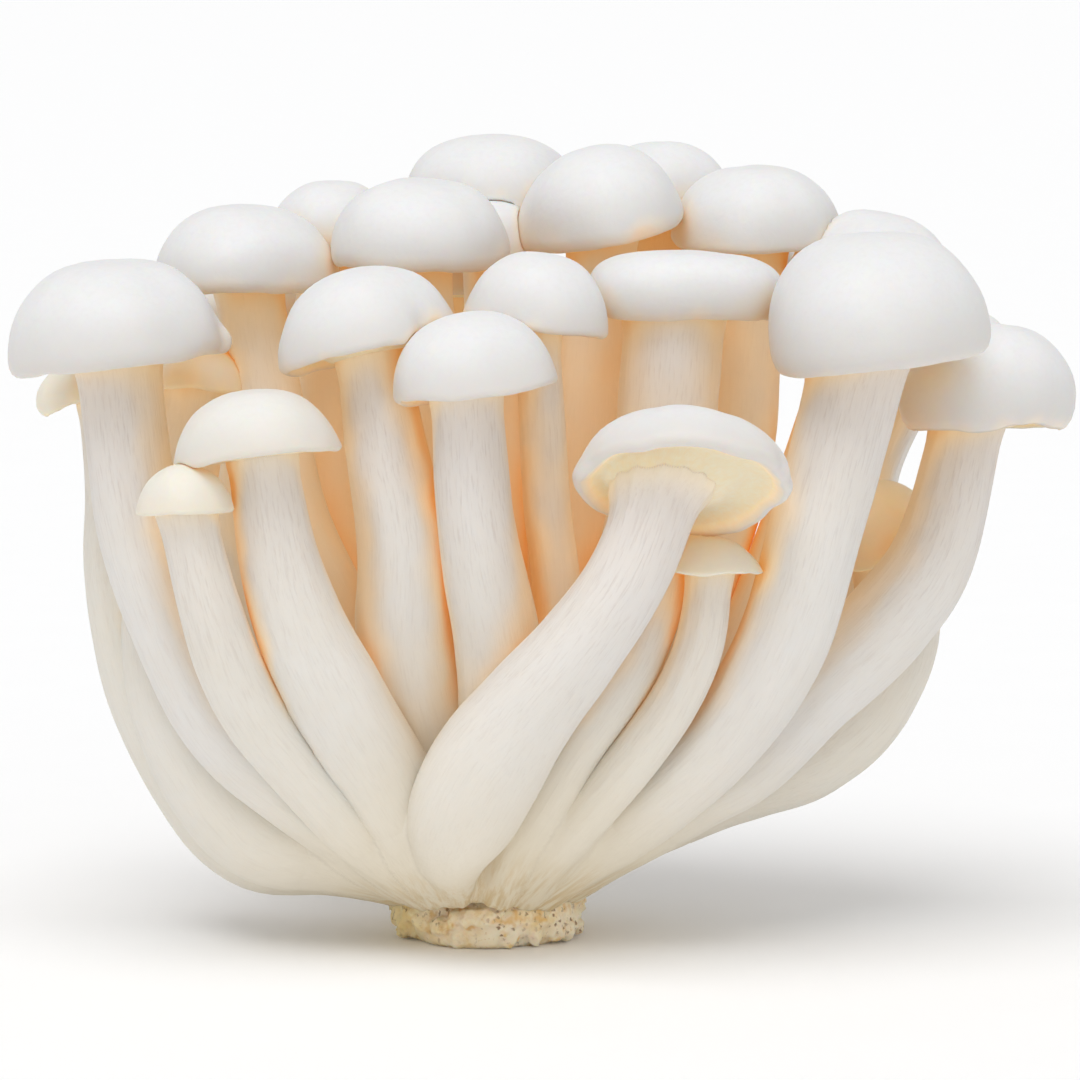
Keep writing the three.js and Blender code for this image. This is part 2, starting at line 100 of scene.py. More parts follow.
# Every mushroom, in millimetres: the route of its stem, the stem's radii and its cap.
MUSHROOMS = {
    "front_tilted": dict(
        route=[[-2.9, -10.5, 5.2], [-3.3, -13.5, 7.8], [-3.7, -17.5, 12.1], [-2.6, -20.8, 16.5],
               [0.3, -24, 22.8], [4.6, -27, 29.2], [9.6, -29.3, 35.6], [15, -30.6, 43.6]],
        girth=[0.9, 1.8, 4.1, 5.9, 6.3, 5.4, 4.7, 4.3, 4.4],
        centre=[20.6, -30, 52.2], radius=11.4, height=8, lean=[3, 31], shift=[-2, 0]),
    "front_left_small": dict(
        route=[[-6.2, -7.5, 6], [-13.5, -15.5, 14], [-20.5, -21, 22.5], [-25.5, -25.2, 30],
               [-29, -29.5, 40]],
        girth=[2.6, 3.6, 3.7, 3.6, 3.3, 2.9],
        centre=[-31.4, -31, 49.9], radius=5.1, height=5.1, lean=[-2, 4], rim_angle=14),
    "front_left": dict(
        route=[[-4.6, -8.6, 6], [-8, -14.5, 14], [-12, -18.6, 21.5], [-16.5, -23, 30],
               [-21, -26, 41]],
        girth=[2.8, 4.9, 5.2, 5.4, 4.6, 3.6],
        centre=[-24, -27.5, 55.4], radius=8.9, height=7.3, lean=[-7, 5], shift=[0.5, 0],
        rim_angle=15),
    "front_right_small": dict(
        route=[[3, -8, 5.8], [7.7, -14.5, 12.5], [12, -18, 17.9], [16.3, -20.5, 23.5],
               [20, -21.5, 29.1], [22.6, -22, 35.5]],
        girth=[2.2, 2.9, 2.8, 2.7, 2.6, 2.5, 2.3],
        centre=[22.8, -21.5, 43], radius=6.3, height=3.6, lean=[5, 2], shift=[0.8, 0],
        rim_angle=35),
    "front_right_slim": dict(
        route=[[0.6, -9, 5.8], [2.9, -13, 12], [6.1, -16.5, 17.7], [9.3, -18.5, 23.3],
               [13.1, -19.8, 28.9], [16.2, -19.4, 34.2], [18.6, -18, 41]],
        girth=[2.3, 3.4, 3.5, 3.4, 3.3, 3.1, 2.8, 2.5],
        centre=[19.4, -14.5, 50], radius=3.8, height=3.4, lean=[0, 6]),
    "front_centre": dict(
        route=[[-0.5, -8, 9], [1.5, -14, 21], [1, -19, 35], [-1.2, -24, 48.5]],
        girth=[4.2, 4.8, 4.8, 4.1, 3.5],
        centre=[-1.2, -26.5, 61.9], radius=8.7, height=8.8, lean=[-8, 4], shift=[-0.8, 0]),
    "left_outer": dict(
        route=[[-6.8, -5.5, 6], [-17, -13, 15.5], [-27, -16, 24], [-32.7, -17, 33.5],
               [-37.3, -17, 48]],
        girth=[2.9, 4.5, 4.5, 4.4, 4.5, 4.5],
        centre=[-39.4, -16, 64.4], radius=11.3, height=11.2, lean=[-7, 1], rim_angle=2),
    "right_big": dict(
        route=[[5.2, -6.8, 6], [17.5, -14, 17], [26, -17, 25.5], [32, -18.5, 36.5], [36, -19, 51]],
        girth=[2.7, 4.3, 4.5, 4.9, 5.1, 5.2],
        centre=[41.5, -18, 64.8], radius=12.3, height=13.9, lean=[-5, -1], shift=[-1.2, 0],
        rim_angle=0),
    "right_outer": dict(
        route=[[7.2, -4, 6.2], [22, -8, 16.5], [28.5, -9, 20.5], [35.5, -8, 28], [43.5, -6, 35.5],
               [49, -4, 43.5]],
        girth=[2.7, 4, 4.1, 4.7, 4.9, 4.5, 3.8],
        centre=[54.3, -1.5, 56.4], radius=9.7, height=11.6, lean=[0, 3], shift=[-1.4, 0],
        rim_angle=0),
    "centre_left": dict(
        route=[[-2.5, -8, 9], [-6, -12, 22.5], [-8.8, -16, 34.5], [-9.3, -18.5, 47],
               [-11, -19, 57]],
        girth=[4.1, 4.6, 5, 4.9, 4.3, 3.6],
        centre=[-12.2, -19, 65.5], radius=9.9, height=9.6, lean=[-12, 7]),
    "centre": dict(
        route=[[1, -4, 9], [5.3, -9, 24], [7.3, -13, 38.5], [6.3, -15.5, 50]],
        girth=[3.1, 2.9, 2.6, 2.5, 2.3],
        centre=[5, -16.5, 68.2], radius=7.9, height=8.3, lean=[9, 4], rim_angle=16),
    "centre_right": dict(
        route=[[1.5, -2, 8.5], [8.5, -5, 22.5], [15, -7, 35.5], [18.5, -8, 49]],
        girth=[4.4, 4.8, 5.4, 5.5, 5.4],
        centre=[21.2, -8, 68.9], radius=9.7, height=7.2, lean=[1, 1], shift=[-1, 0],
        stretch=[1.1, 0.86], rim_angle=0, fullness=0.6, flatness=0.75),
    "left_low": dict(
        route=[[-7.2, -1.5, 6.2], [-17, -2, 9.5], [-25.5, -1, 11.5], [-31.5, 0, 17.5],
               [-37.5, 1, 28], [-40, 1, 40.5], [-40.5, 0, 50]],
        girth=[2.8, 5, 6.4, 6.2, 5.2, 4.8, 3.9, 2.8],
        centre=[-44, -1.5, 59.5], radius=5.3, height=4.5, lean=[-22, 3], shift=[2.2, 0]),
    "left_inner": dict(
        route=[[-7.6, -3.8, 6.2], [-17, -7, 10.5], [-25, -8, 13.5], [-31, -8, 21],
               [-34.8, -6.5, 29.5], [-35.3, -3, 40]],
        girth=[2.9, 4.8, 6, 5.8, 5.1, 4.3, 3.5],
        centre=[-31.6, -1, 60.5], radius=5.4, height=5, lean=[6, 4]),
    "right_low": dict(
        route=[[8.5, 0, 7], [22.5, 2, 13.7], [28.5, 4, 16.7], [35.5, 6, 20.3], [41.5, 8, 26],
               [45.6, 11.5, 34]],
        girth=[2.7, 3.4, 4.9, 6.3, 6.4, 5, 3.2],
        centre=[43.4, 8.5, 43.5], radius=6.6, height=5.8, lean=[-20, -26]),
    "left_back": dict(
        route=[[-4, -3, 8.5], [-9.5, -4, 22], [-17, -4, 36.5], [-22.5, -2, 49.5]],
        girth=[3.7, 4.3, 4.4, 4.1, 3.7],
        centre=[-26.7, 1, 72], radius=10.1, height=8.8, lean=[2, -4]),
    "top_left": dict(
        route=[[-1, -2, 8.5], [-2, -3, 22], [-4.5, -3, 37.5], [-6, -2, 51.5]],
        girth=[3.8, 4, 3.9, 3.7, 3.5],
        centre=[-7.8, -1, 74.2], radius=9.8, height=9.6, lean=[0, -2], rim_angle=4),
    "top_centre": dict(
        route=[[1, -1, 8.5], [7, 1, 25], [9.6, 3, 39], [10.8, 5, 53.5]],
        girth=[3.8, 4.3, 4.5, 4.3, 3.8],
        centre=[13, 5, 76.9], radius=9.1, height=10.2, lean=[-11, -4], rim_angle=6),
    "top_right": dict(
        route=[[3.5, -1, 8.5], [15.5, 2, 24.5], [23.5, 5, 40], [27.5, 8, 54]],
        girth=[3.8, 4.3, 4.2, 4.1, 3.7],
        centre=[29.7, 9, 76.2], radius=9.6, height=8.6, lean=[-2, -5]),
    "right_behind": dict(
        route=[[5, 0, 8.5], [17, 1, 16.5], [27, 3, 29], [33, 5, 43], [37, 5.5, 55]],
        girth=[3.8, 4.3, 4.2, 3.7, 3.4, 3.4],
        centre=[42.2, 6, 70.6], radius=9.4, height=9.2, lean=[9, 0]),
    "right_back": dict(
        route=[[6.5, 3, 8.5], [20, 9, 18], [31.5, 16, 28], [41.2, 20, 40], [44.8, 18, 51.5]],
        girth=[3.3, 4, 4.2, 3.2, 2.2, 2.4],
        centre=[52.3, 14, 62.8], radius=6.6, height=6, lean=[14, 4], shift=[-2.2, 0]),
    "back_small": dict(
        route=[[0, 1, 8.5], [1, 4, 23], [1.5, 7, 41], [1.5, 8, 54]],
        girth=[2.9, 2.9, 2.7, 2.4, 2.3],
        centre=[0.5, 8, 74.5], radius=5.6, height=6.4, lean=[2, -3]),
    "back_left_high": dict(
        route=[[-2.5, 1, 8.5], [-10, 4, 23], [-16.5, 7, 41], [-17.8, 9.5, 55]],
        girth=[3.5, 4, 4.2, 4, 3.5],
        centre=[-17.5, 11, 75.8], radius=7.3, height=7.2, lean=[-5, 0]),
    "back_high": dict(
        route=[[0, 4, 8.5], [1, 9, 21], [1.5, 13, 38], [1, 16, 54.5]],
        girth=[3.8, 4, 3.8, 3.6, 3.4],
        centre=[0, 17.5, 79.2], radius=10.4, height=8.8, lean=[-2, 0]),
    "back_right_high": dict(
        route=[[1.5, 4, 8.5], [8, 10, 21.5], [13.5, 15, 37.5], [17, 18, 54.5]],
        girth=[3.8, 4, 3.8, 3.6, 3.4],
        centre=[19.3, 19.5, 79], radius=8.3, height=8, lean=[2, 4]),
    "rear_left": dict(
        route=[[-5, 4, 8.5], [-15, 12, 16], [-24, 17, 28], [-28.5, 20, 44]],
        girth=[3.8, 5, 5.2, 4.9, 4.4],
        centre=[-29, 21.5, 65], radius=10, height=8.4, lean=[-7, 6]),
    "rear_centre": dict(
        route=[[-1.5, 6, 8.5], [-4.5, 15, 17], [-6, 23, 29], [-6, 27.5, 46]],
        girth=[3.8, 5.2, 5.4, 4.8, 4.2],
        centre=[-6, 29, 68.5], radius=10, height=9, lean=[-2, 6]),
    "rear_low": dict(
        route=[[2, 7, 8.5], [7, 17, 15], [10.5, 25, 25], [11.5, 29, 40]],
        girth=[3.4, 5, 5, 4.2, 3.6],
        centre=[11.5, 31, 56], radius=8.4, height=7.4, lean=[3, 10]),
    "rear_right": dict(
        route=[[5, 4, 8.5], [13, 11, 17], [22, 17.5, 29], [26, 21, 46]],
        girth=[3.8, 5, 5.2, 4.4, 3.7],
        centre=[29, 23, 67.5], radius=9.8, height=8.6, lean=[5, 6]),
}

# What sets single mushrooms apart: dents and nubs in the rim (direction in degrees, size as a
# share of the radius, width in degrees), "waves", how uneven the rim is, "widest", the height of
# the widest line as a share of the cap's, "flare", how far the neck widens into the gills in
# millimetres, "neck", how much of the gills' colour it takes there, "cream", how yellowish the
# skin is, and "painted_light", how strongly a cap is tinted with painted shade and glow where
# little light gets in.
USUAL = dict(dents=(), nubs=(), waves=1.0, widest=WIDEST_HEIGHT, flare=0.3, neck=0.35, cream=0.0,
             painted_light=0.32)
DETAILS = {
    "front_tilted": dict(dents=[(-26, 0.06, 8), (-9, 0.04, 6), (28, 0.05, 12), (205, 0.04, 10)],
                         waves=2.0, widest=0.11, flare=0.9, neck=0.8),
    "front_left_small": dict(cream=0.5),
    "front_left": dict(cream=0.25),
    "front_right_small": dict(dents=[(-30, 0.05, 9)], waves=1.6, cream=0.6),
    "front_right_slim": dict(cream=0.4),
    "left_outer": dict(nubs=[(-3, 0.10, 3.6)], widest=0.14),
    "right_big": dict(widest=0.16),
    "right_outer": dict(dents=[(-70, 0.03, 14)], widest=0.34, waves=1.2),
    "right_low": dict(cream=0.9, painted_light=1.0),
    "centre_left": dict(dents=[(-48, 0.10, 8)], waves=1.3),
    "centre_right": dict(widest=0.36),
    "left_low": dict(cream=0.7, widest=0.3, painted_light=0.6),
    "left_inner": dict(cream=0.5, painted_light=1.0),
    "left_back": dict(widest=0.13),
    "top_left": dict(widest=0.16),
    "top_centre": dict(widest=0.14),
}


def detail(name, key):
    return DETAILS.get(name, {}).get(key, USUAL[key])


# Smooth noise that is the same on every run

def hashed(cells, seed):
    """A number from -1 to 1 for each row of whole numbers."""
    c = cells.astype(np.int64)
    mixed = c[:, 0] * 73856093 ^ c[:, 1] * 19349663 ^ c[:, 2] * 83492791 ^ (seed * 2654435761)
    mixed &= 0xFFFFFFFF
    mixed = ((mixed >> 15) ^ mixed) * 0x2C1B3C6D & 0xFFFFFFFF
    mixed = ((mixed >> 12) ^ mixed) * 0x297A2D39 & 0xFFFFFFFF
    mixed = (mixed >> 15) ^ mixed
    return (mixed & 0xFFFFFF) / float(0x7FFFFF) - 1.0


def noise(points, seed=0):
    """Value noise with a period of one, for an array of points."""
    p = np.atleast_2d(np.asarray(points, float))
    low = np.floor(p)
    t = p - low
    t = t * t * t * (t * (t * 6 - 15) + 10)
    total = np.zeros(len(p))
    for corner in range(8):
        step = np.array([corner & 1, corner >> 1 & 1, corner >> 2 & 1])
        weight = np.prod(np.where(step, t, 1 - t), axis=1)
        total += weight * hashed(low + step, seed)
    return total


def layered(points, seed=0, octaves=3):
    """Noise with finer and weaker noise on top of it."""
    total, strength = 0.0, 1.0
    p = np.asarray(points, float)
    for k in range(octaves):
        total = total + strength * noise(p * 2 ** k, seed + 17 * k)
        strength *= 0.5
    return total


def ramp(x, low, high):
    """0 up to low, 1 from high on, and smooth between them."""
    t = np.clip((np.asarray(x, float) - low) / (high - low), 0, 1)
    return t * t * (3 - 2 * t)


# The middle lines of the stems

def curve_points(control, t):
    """Points at t (0 to 1) on the smooth curve through the control points, evenly timed."""
    control = np.asarray(control, float)
    last = len(control) - 1
    padded = np.vstack([2 * control[0] - control[1], control, 2 * control[-1] - control[-2]])
    x = np.clip(np.asarray(t, float), 0, 1) * last
    i = np.minimum(x.astype(int), last - 1)
    w = (x - i)[:, None]
    p0, p1, p2, p3 = (padded[i + k] for k in range(4))
    v0, v1 = (p2 - p0) / 2, (p3 - p1) / 2
    return (
        p1 + v0 * w + (3 * (p2 - p1) - 2 * v0 - v1) * w ** 2 + (2 * (p1 - p2) + v0 + v1) * w ** 3
    )


def cap_turn(m):
    """The turn of a cap that leans to the right and to the back, as a matrix."""
    right, back = (math.radians(a) for a in m["lean"])
    axis = Vector((math.tan(right), math.tan(back), 1)).normalized()
    return np.array(Vector((0, 0, 1)).rotation_difference(axis).to_matrix())


def seat_point(m):
    """Where a stem ends inside its cap."""
    right, back = m.get("shift", (0, 0))
    local = np.array([right, back, m["height"] * SEAT_HEIGHT])
    return cap_turn(m) @ local + np.array(m["centre"], float)


def below_gills(m, points):
    """How far points are under the place where the gills of a cap meet its stem."""
    up = (points - np.array(m["centre"], float)) @ cap_turn(m)[:, 2]
    return np.maximum(0.04 * m["height"] - up, 0)


def stem_line(m):
    """Middle line of a stem with its length, radius and turning frame, finely divided."""
    t = np.linspace(0, 1, CURVE_STEPS)
    points = curve_points([*m["route"], seat_point(m)], t)
    radii = curve_points([[r, 0, 0] for r in m["girth"]], t)[:, 0]
    steps = np.linalg.norm(np.diff(points, axis=0), axis=1)
    length = np.concatenate([[0], np.cumsum(steps)])
    tangents = np.gradient(points, axis=0)
    tangents /= np.linalg.norm(tangents, axis=1)[:, None]
    side = np.cross([0, 1, 0], tangents[0])
    side /= np.linalg.norm(side)
    sides = [side]
    for a, b in zip(tangents[:-1], tangents[1:]):
        turn = Vector(a).rotation_difference(Vector(b))
        sides.append(np.array(turn @ Vector(sides[-1])))
    sides = np.array(sides)
    return dict(points=points, radii=radii, length=length, tangents=tangents,
                sides=sides, overs=np.cross(tangents, sides))


def at_length(line, s):
    """Centre, radius, tangent, side and over of a stem at lengths s, also past its ends."""
    found = []
    for key in ("points", "radii", "tangents", "sides", "overs"):
        value = line[key].reshape(len(line["length"]), -1)
        columns = [np.interp(s, line["length"], value[:, k]) for k in range(value.shape[1])]
        found.append(np.stack(columns, 1))
    centre, radius, tangent, side, over = found
    beyond = s - np.clip(s, 0, line["length"][-1])
    centre = centre + tangent * beyond[:, None]
    return centre, radius[:, 0], tangent, side, over


def split_length(line):
    """How far up a stem the fused base reaches."""
    away = np.linalg.norm(line["points"] - BASE_MIDDLE, axis=1) > BASE_REACH
    return line["length"][np.argmax(away)]


# Meshes

def make_object(name, points, faces, attributes=(), smooth=True):
    """A mesh object from points in millimetres. An attribute has a number or a vector a point."""
    mesh = bpy.data.meshes.new(name)
    mesh.from_pydata((np.asarray(points) * MM).tolist(), [], faces)
    mesh.validate()
    for key, values in dict(attributes).items():
        values = np.asarray(values, np.float32)
        kind, field = ("FLOAT", "value") if values.ndim == 1 else ("FLOAT_VECTOR", "vector")
        mesh.attributes.new(key, kind, "POINT").data.foreach_set(field, values.ravel())
    mesh.polygons.foreach_set("use_smooth", [smooth] * len(mesh.polygons))
    mesh.update()
    made = bpy.data.objects.new(name, mesh)
    bpy.context.scene.collection.objects.link(made)
    return made


def tube_faces(rings, sides):
    """Faces of a closed tube: ring after ring, then the middle of the foot and of the top."""
    faces = []
    for i in range(rings - 1):
        for j in range(sides):
            k = (j + 1) % sides
            faces.append((i * sides + j, i * sides + k, (i + 1) * sides + k, (i + 1) * sides + j))
    foot, top = rings * sides, rings * sides + 1
    for j in range(sides):
        k = (j + 1) % sides
        faces.append((foot, k, j))
        faces.append((top, (rings - 1) * sides + j, (rings - 1) * sides + k))
    return faces


def around_line(centre, side, over, x, y):
    """Points at x and y from the middle line, with as many in a ring as the rings allow."""
    sides = len(x) // len(centre)
    return (np.repeat(centre, sides, 0) + x[:, None] * np.repeat(side, sides, 0)
            + y[:, None] * np.repeat(over, sides, 0))


def grain_place(x, y, s, seed):
    """A point's place in the grain of the flesh: across the stem, and along it."""
    return np.column_stack([x + GRAIN_APART[0] * seed, y + GRAIN_APART[1] * seed, s])


def stem_skin(line, seed, s, sides, offset, cap=None, flare=0.0):
    """Points of a stem's skin at lengths s, and each point's place in the grain of the flesh."""
    centre, radius, _, side, over = at_length(line, s)
    angle = np.linspace(0, 2 * math.pi, sides, endpoint=False)
    ring = np.stack([np.cos(angle), np.sin(angle)], 1)
    grid_s = np.repeat(s, sides)
    around = np.tile(ring, (len(s), 1))
    r = np.repeat(radius, sides)
    broad = noise(np.column_stack([around * 0.9, grid_s / 13]), seed)
    uneven = layered(np.column_stack([around * 2.1, grid_s / 7]), seed + 5, 2)
    strands = noise(np.column_stack([around * 4.6, grid_s / 19]), seed + 9)
    r = r * (1 + 0.055 * broad + 0.016 * uneven) + 0.07 * strands
    if cap is not None:
        skin = around_line(centre, side, over, around[:, 0] * r, around[:, 1] * r)
        left = below_gills(cap, skin)
        r += flare * np.exp(-(left / 1.6) ** 2)
        folds = np.cos(np.tile(angle, len(s)) * NECK_FOLDS + 3.5 * broad)
        r += 0.14 * flare * folds * np.exp(-(left / 3.2) ** 2)
    r = r + np.repeat(offset, sides)
    x, y = around[:, 0] * r, around[:, 1] * r
    return around_line(centre, side, over, x, y), grain_place(x, y, grid_s, seed)


def tube(line, seed, s, sides, offset, cap=None, flare=0.0):
    """A stem's closed tube from lengths s: points, faces and grain."""
    skin, grain = stem_skin(line, seed, s, sides, offset, cap, flare)
    centre = at_length(line, s[[0, -1]])[0]
    points = np.vstack([skin, centre])
    middle = grain_place(np.zeros(2), np.zeros(2), s[[0, -1]], seed)
    return points, tube_faces(len(s), sides), np.vstack([grain, middle])


def rim_shape(name, seed, angle):
    """How a cap's rim runs round it: reach, height, dents and nubs, as shares of the radius."""
    ring = np.stack([np.cos(angle), np.sin(angle)], 1)
    waves = detail(name, "waves")
    rng = np.random.default_rng(seed)
    outline, wave = np.ones(len(angle)), np.zeros(len(angle))
    for k in (2, 3, 4, 5, 7):
        outline += rng.normal(0, 0.05) / k * np.cos(k * angle + rng.uniform(0, 6.28))
        wave += rng.normal(0, 0.09) * waves / k * np.cos(k * angle + rng.uniform(0, 6.28))
    fine_wave = noise(np.column_stack([ring * 4.2, np.full(len(angle), 0.3)]), seed + 40)
    wave += 0.035 * waves * fine_wave
    dent, nub = np.zeros(len(angle)), np.zeros(len(angle))
    for shape, key in ((dent, "dents"), (nub, "nubs")):
        for towards, depth, width in detail(name, key):
            apart = (np.degrees(angle) - towards + 180) % 360 - 180
            shape += depth * np.exp(-(apart / width) ** 2)
    return outline, wave, dent, nub


def cap_rows(name, m, inner):
    """Rows from a cap's top to the middle of its underside.

    A row has its share of the radius, its height, how deep the gills are cut, its share of the
    rim's unevenness and its share of the gills' colour.
    """
    radius, height = m["radius"], m["height"]
    widest = detail(name, "widest") * height
    rim = math.radians(m.get("rim_angle", RIM_ANGLE))
    rows = []
    for step in (0.955, 0.88, 0.81, 0.74, 0.67, 0.6, 0.53, 0.46, 0.39, 0.32, 0.25, 0.185, 0.125,
                 0.07, 0.03, 0):
        a = rim + (math.pi / 2 - rim) * step
        share = (math.cos(a) / math.cos(rim)) ** m.get("fullness", DOME_FULLNESS)
        up = ((math.sin(a) - math.sin(rim)) / (1 - math.sin(rim))) ** m.get("flatness", 1)
        rows.append((share, widest + (height - widest) * up, 0, math.cos(a) ** 2, 0))
    lip = (0.2 + 0.35 * widest) / radius + 0.018
    for degrees in (22, 45, 68, 90):
        a = math.radians(degrees)
        rows.append((1 - lip * (1 - math.cos(a)), widest * (1 - math.sin(a)), 0, 1, 0))
    edge = 1 - lip
    for step, level, under in ((0.12, 0, 0), (0.3, 0.008, 0.3), (0.6, 0.03, 0.55),
                               (0.85, 0.055, 0.8)):
        rows.append((edge + (GILL_EDGE - edge) * step, level * height, 0, 1, under))
    for t in (0.04, 0.1, 0.2, 0.34, 0.5, 0.66, 0.82, 0.94, 1.0):
        share = GILL_EDGE + (inner - GILL_EDGE) * t
        level = 0.07 + 0.13 * math.sin(math.pi * min(t * 1.15, 1) ** 0.8) - 0.05 * t
        rows.append((share, level * height, min(1, t * 9) * min(1, (1 - t) * 6 + 0.3), 1 - t, 1))
    return rows


def cap_shape(name, m, seed):
    """Points of a cap, and for each how much it belongs to the gills and to the lower dome, where
    shade is painted.
    """
    radius, height = m["radius"], m["height"]
    gills = int(round(26 + 3.2 * radius))
    sides = gills * 4
    wide, deep = m.get("stretch", (1, 1))
    right, back = m.get("shift", (0, 0))
    angle = np.linspace(0, 2 * math.pi, sides, endpoint=False)
    ring = np.stack([np.cos(angle), np.sin(angle)], 1)
    outline, wave, dent, nub = rim_shape(name, seed, angle)
    inner = min(m["girth"][-1] / radius * 1.04, 0.74)
    rows = cap_rows(name, m, inner)
    points, gill_share = [], []
    pleat = np.abs(np.sin(gills * angle)) ** 0.8
    between = 0.5 + 0.5 * np.cos(gills * angle)
    for share, level, gill, uneven, under in rows:
        at_rim = nub * uneven ** 24 - dent * uneven ** 6
        reach = share * radius * (1 + (outline - 1) * uneven + at_rim)
        x = ring[:, 0] * reach * wide
        y = ring[:, 1] * reach * deep
        z = np.full(sides, level) + (wave * uneven + 1.6 * dent * uneven ** 6) * radius * 0.35
        if gill:
            towards_stem = ramp(GILL_EDGE - share, 0, GILL_EDGE - inner)
            short = 1 - between * ramp(0.62 - share, 0, 0.2)
            z = z - 0.42 * min(1, radius / 9) * gill * pleat * short
            x = x + right * towards_stem
            y = y + back * towards_stem
        points.append(np.column_stack([x, y, z]))
        gill_share.append(np.full(sides, float(under)))
    top = [[0, 0, height]]
    inside = [[right, back, 0.3 * height]]
    local = np.vstack([*points, top, inside])
    gill_share = np.concatenate([*gill_share, [0.0], [1.0]])
    lump = layered(local / (radius * 0.75) + seed * 3.1, seed + 3, 2)
    small = noise(local / (radius * 0.22) + seed * 1.7, seed + 8)
    out = local / np.maximum(np.linalg.norm(local - [0, 0, 0.1 * height], axis=1), 1e-6)[:, None]
    swell = (0.022 * lump + 0.004 * small) * radius
    local = local + out * (swell * (1 - 0.8 * gill_share))[:, None]
    # How far down the dome a point is, for the painted shade there.
    low = 1 - ramp(local[:, 2] / height, 0.0, 0.75)
    spot = local @ cap_turn(m).T + np.array(m["centre"], float)

    faces = []
    count = len(rows)
    for i in range(count - 1):
        for j in range(sides):
            k = (j + 1) % sides
            faces.append(((i + 1) * sides + j, (i + 1) * sides + k, i * sides + k, i * sides + j))
    for j in range(sides):
        k = (j + 1) % sides
        faces.append((count * sides, j, k))
        faces.append((count * sides + 1, (count - 1) * sides + k, (count - 1) * sides + j))
    return spot, faces, gill_share, low


# Pieces that press on each other

def links(faces):
    """The two ends of every edge, once."""
    pairs = set()
    for f in faces:
        for a, b in zip(f, f[1:] + f[:1]):
            pairs.add((a, b) if a < b else (b, a))
    return np.array(sorted(pairs))


def neighbour_mean(values, pairs):
    """The mean of each point's neighbours."""
    count = len(values)
    values = values.reshape(count, -1)
    a, b = pairs[:, 0], pairs[:, 1]
    number = np.bincount(a, minlength=count) + np.bincount(b, minlength=count)
    total = np.stack([
        np.bincount(a, values[b, k], count) + np.bincount(b, values[a, k], count)
        for k in range(values.shape[1])
    ], 1)
    return total / np.maximum(number, 1)[:, None]


def pressed(points, faces, others, keep, most):
    """Moves points inside other pieces out to their skin. keep is 1 where a point may move."""
    low, high = points.min(0) - 0.5, points.max(0) + 0.5
    push = np.zeros_like(points)
    inside = np.zeros(len(points), bool)
    for box_low, box_high, tree in others:
        if (box_low > high).any() or (box_high < low).any():
            continue
        near = np.flatnonzero(((points > box_low) & (points < box_high)).all(1) & (keep > 0))
        for i in near:
            spot = Vector(points[i] + push[i])
            place, normal, _, away = tree.find_nearest(spot)
            if place is None:
                continue
            deep = (place - spot).dot(normal)
            if deep > -PRESS_GAP and away < most:
                push[i] += np.array(place + normal * PRESS_GAP - spot)
                inside[i] = True
    if not inside.any():
        return points
    pairs = links(faces)
    for _ in range(PRESS_ROUNDS):
        spread = neighbour_mean(push, pairs)
        push[~inside] = PRESS_SPREAD * spread[~inside]
    return points + push * keep[:, None]


def tree_of(points, faces):
    """A piece's box and its skin, for others to be pressed against."""
    return points.min(0) - 0.2, points.max(0) + 0.2, BVHTree.FromPolygons(points.tolist(), faces)


# How open each place is to the light, measured against the CAD solids

def frame_tree():
    """The skins of all the CAD solids together, in millimetres."""
    points, faces = [], []
    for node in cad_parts.values():
        start = len(points)
        points += [tuple(v.co / MM) for v in node.data.vertices]
        faces += [tuple(start + i for i in f.vertices) for f in node.data.polygons]
    return BVHTree.FromPolygons(points, faces)


def ray_fan():
    """Directions spread over the upper half, weighted to the middle."""
    fan = []
    for i in range(RAY_COUNT):
        share = (i + 0.5) / RAY_COUNT
        up = math.sqrt(1 - share)
        out = math.sqrt(share)
        turn = i * GOLDEN_TURN
        fan.append(Vector((out * math.cos(turn), out * math.sin(turn), up)))
    return fan


SOLIDS = frame_tree()
FAN = ray_fan()


def add_openness(obj, samples):
    """Gives each vertex the share of the sky it sees, from rays at some of them."""
    mesh = obj.data
    count = len(mesh.vertices)
    places = np.empty(count * 3, np.float32)
    mesh.vertices.foreach_get("co", places)
    places = places.reshape(-1, 3) / MM
    normals = np.array([v.vector for v in mesh.vertex_normals], float)
    chosen = np.random.default_rng(7).permutation(count)[:samples]
    tree = KDTree(len(chosen))
    seen = np.zeros(len(chosen))
    up = Vector((0, 0, 1))
    for n, i in enumerate(chosen):
        normal = Vector(normals[i])
        turn = up.rotation_difference(normal)
        start = Vector(places[i]) + normal * RAY_LIFT
        clear = 0
        for ray in FAN:
            hit = SOLIDS.ray_cast(start, turn @ ray, RAY_REACH)
            clear += 1 if hit[0] is None else 0.45 * min(hit[3] / RAY_REACH, 1)
        seen[n] = clear / len(FAN)
        tree.insert(Vector(places[i]), n)
    tree.balance()
    open_share = np.zeros(count)
    for i in range(count):
        found = tree.find_n(Vector(places[i]), 5)
        weights = [1 / (d + 0.15) for _, _, d in found]
        open_share[i] = sum(w * seen[n] for w, (_, n, _) in zip(weights, found)) / sum(weights)
    pairs = np.empty(len(mesh.edges) * 2, np.int64)
    mesh.edges.foreach_get("vertices", pairs)
    pairs = pairs.reshape(-1, 2)
    for _ in range(4):
        open_share = 0.4 * open_share + 0.6 * neighbour_mean(open_share, pairs)[:, 0]
    mesh.attributes.new("open", "FLOAT", "POINT").data.foreach_set(
        "value", open_share.astype(np.float32))


# Materials

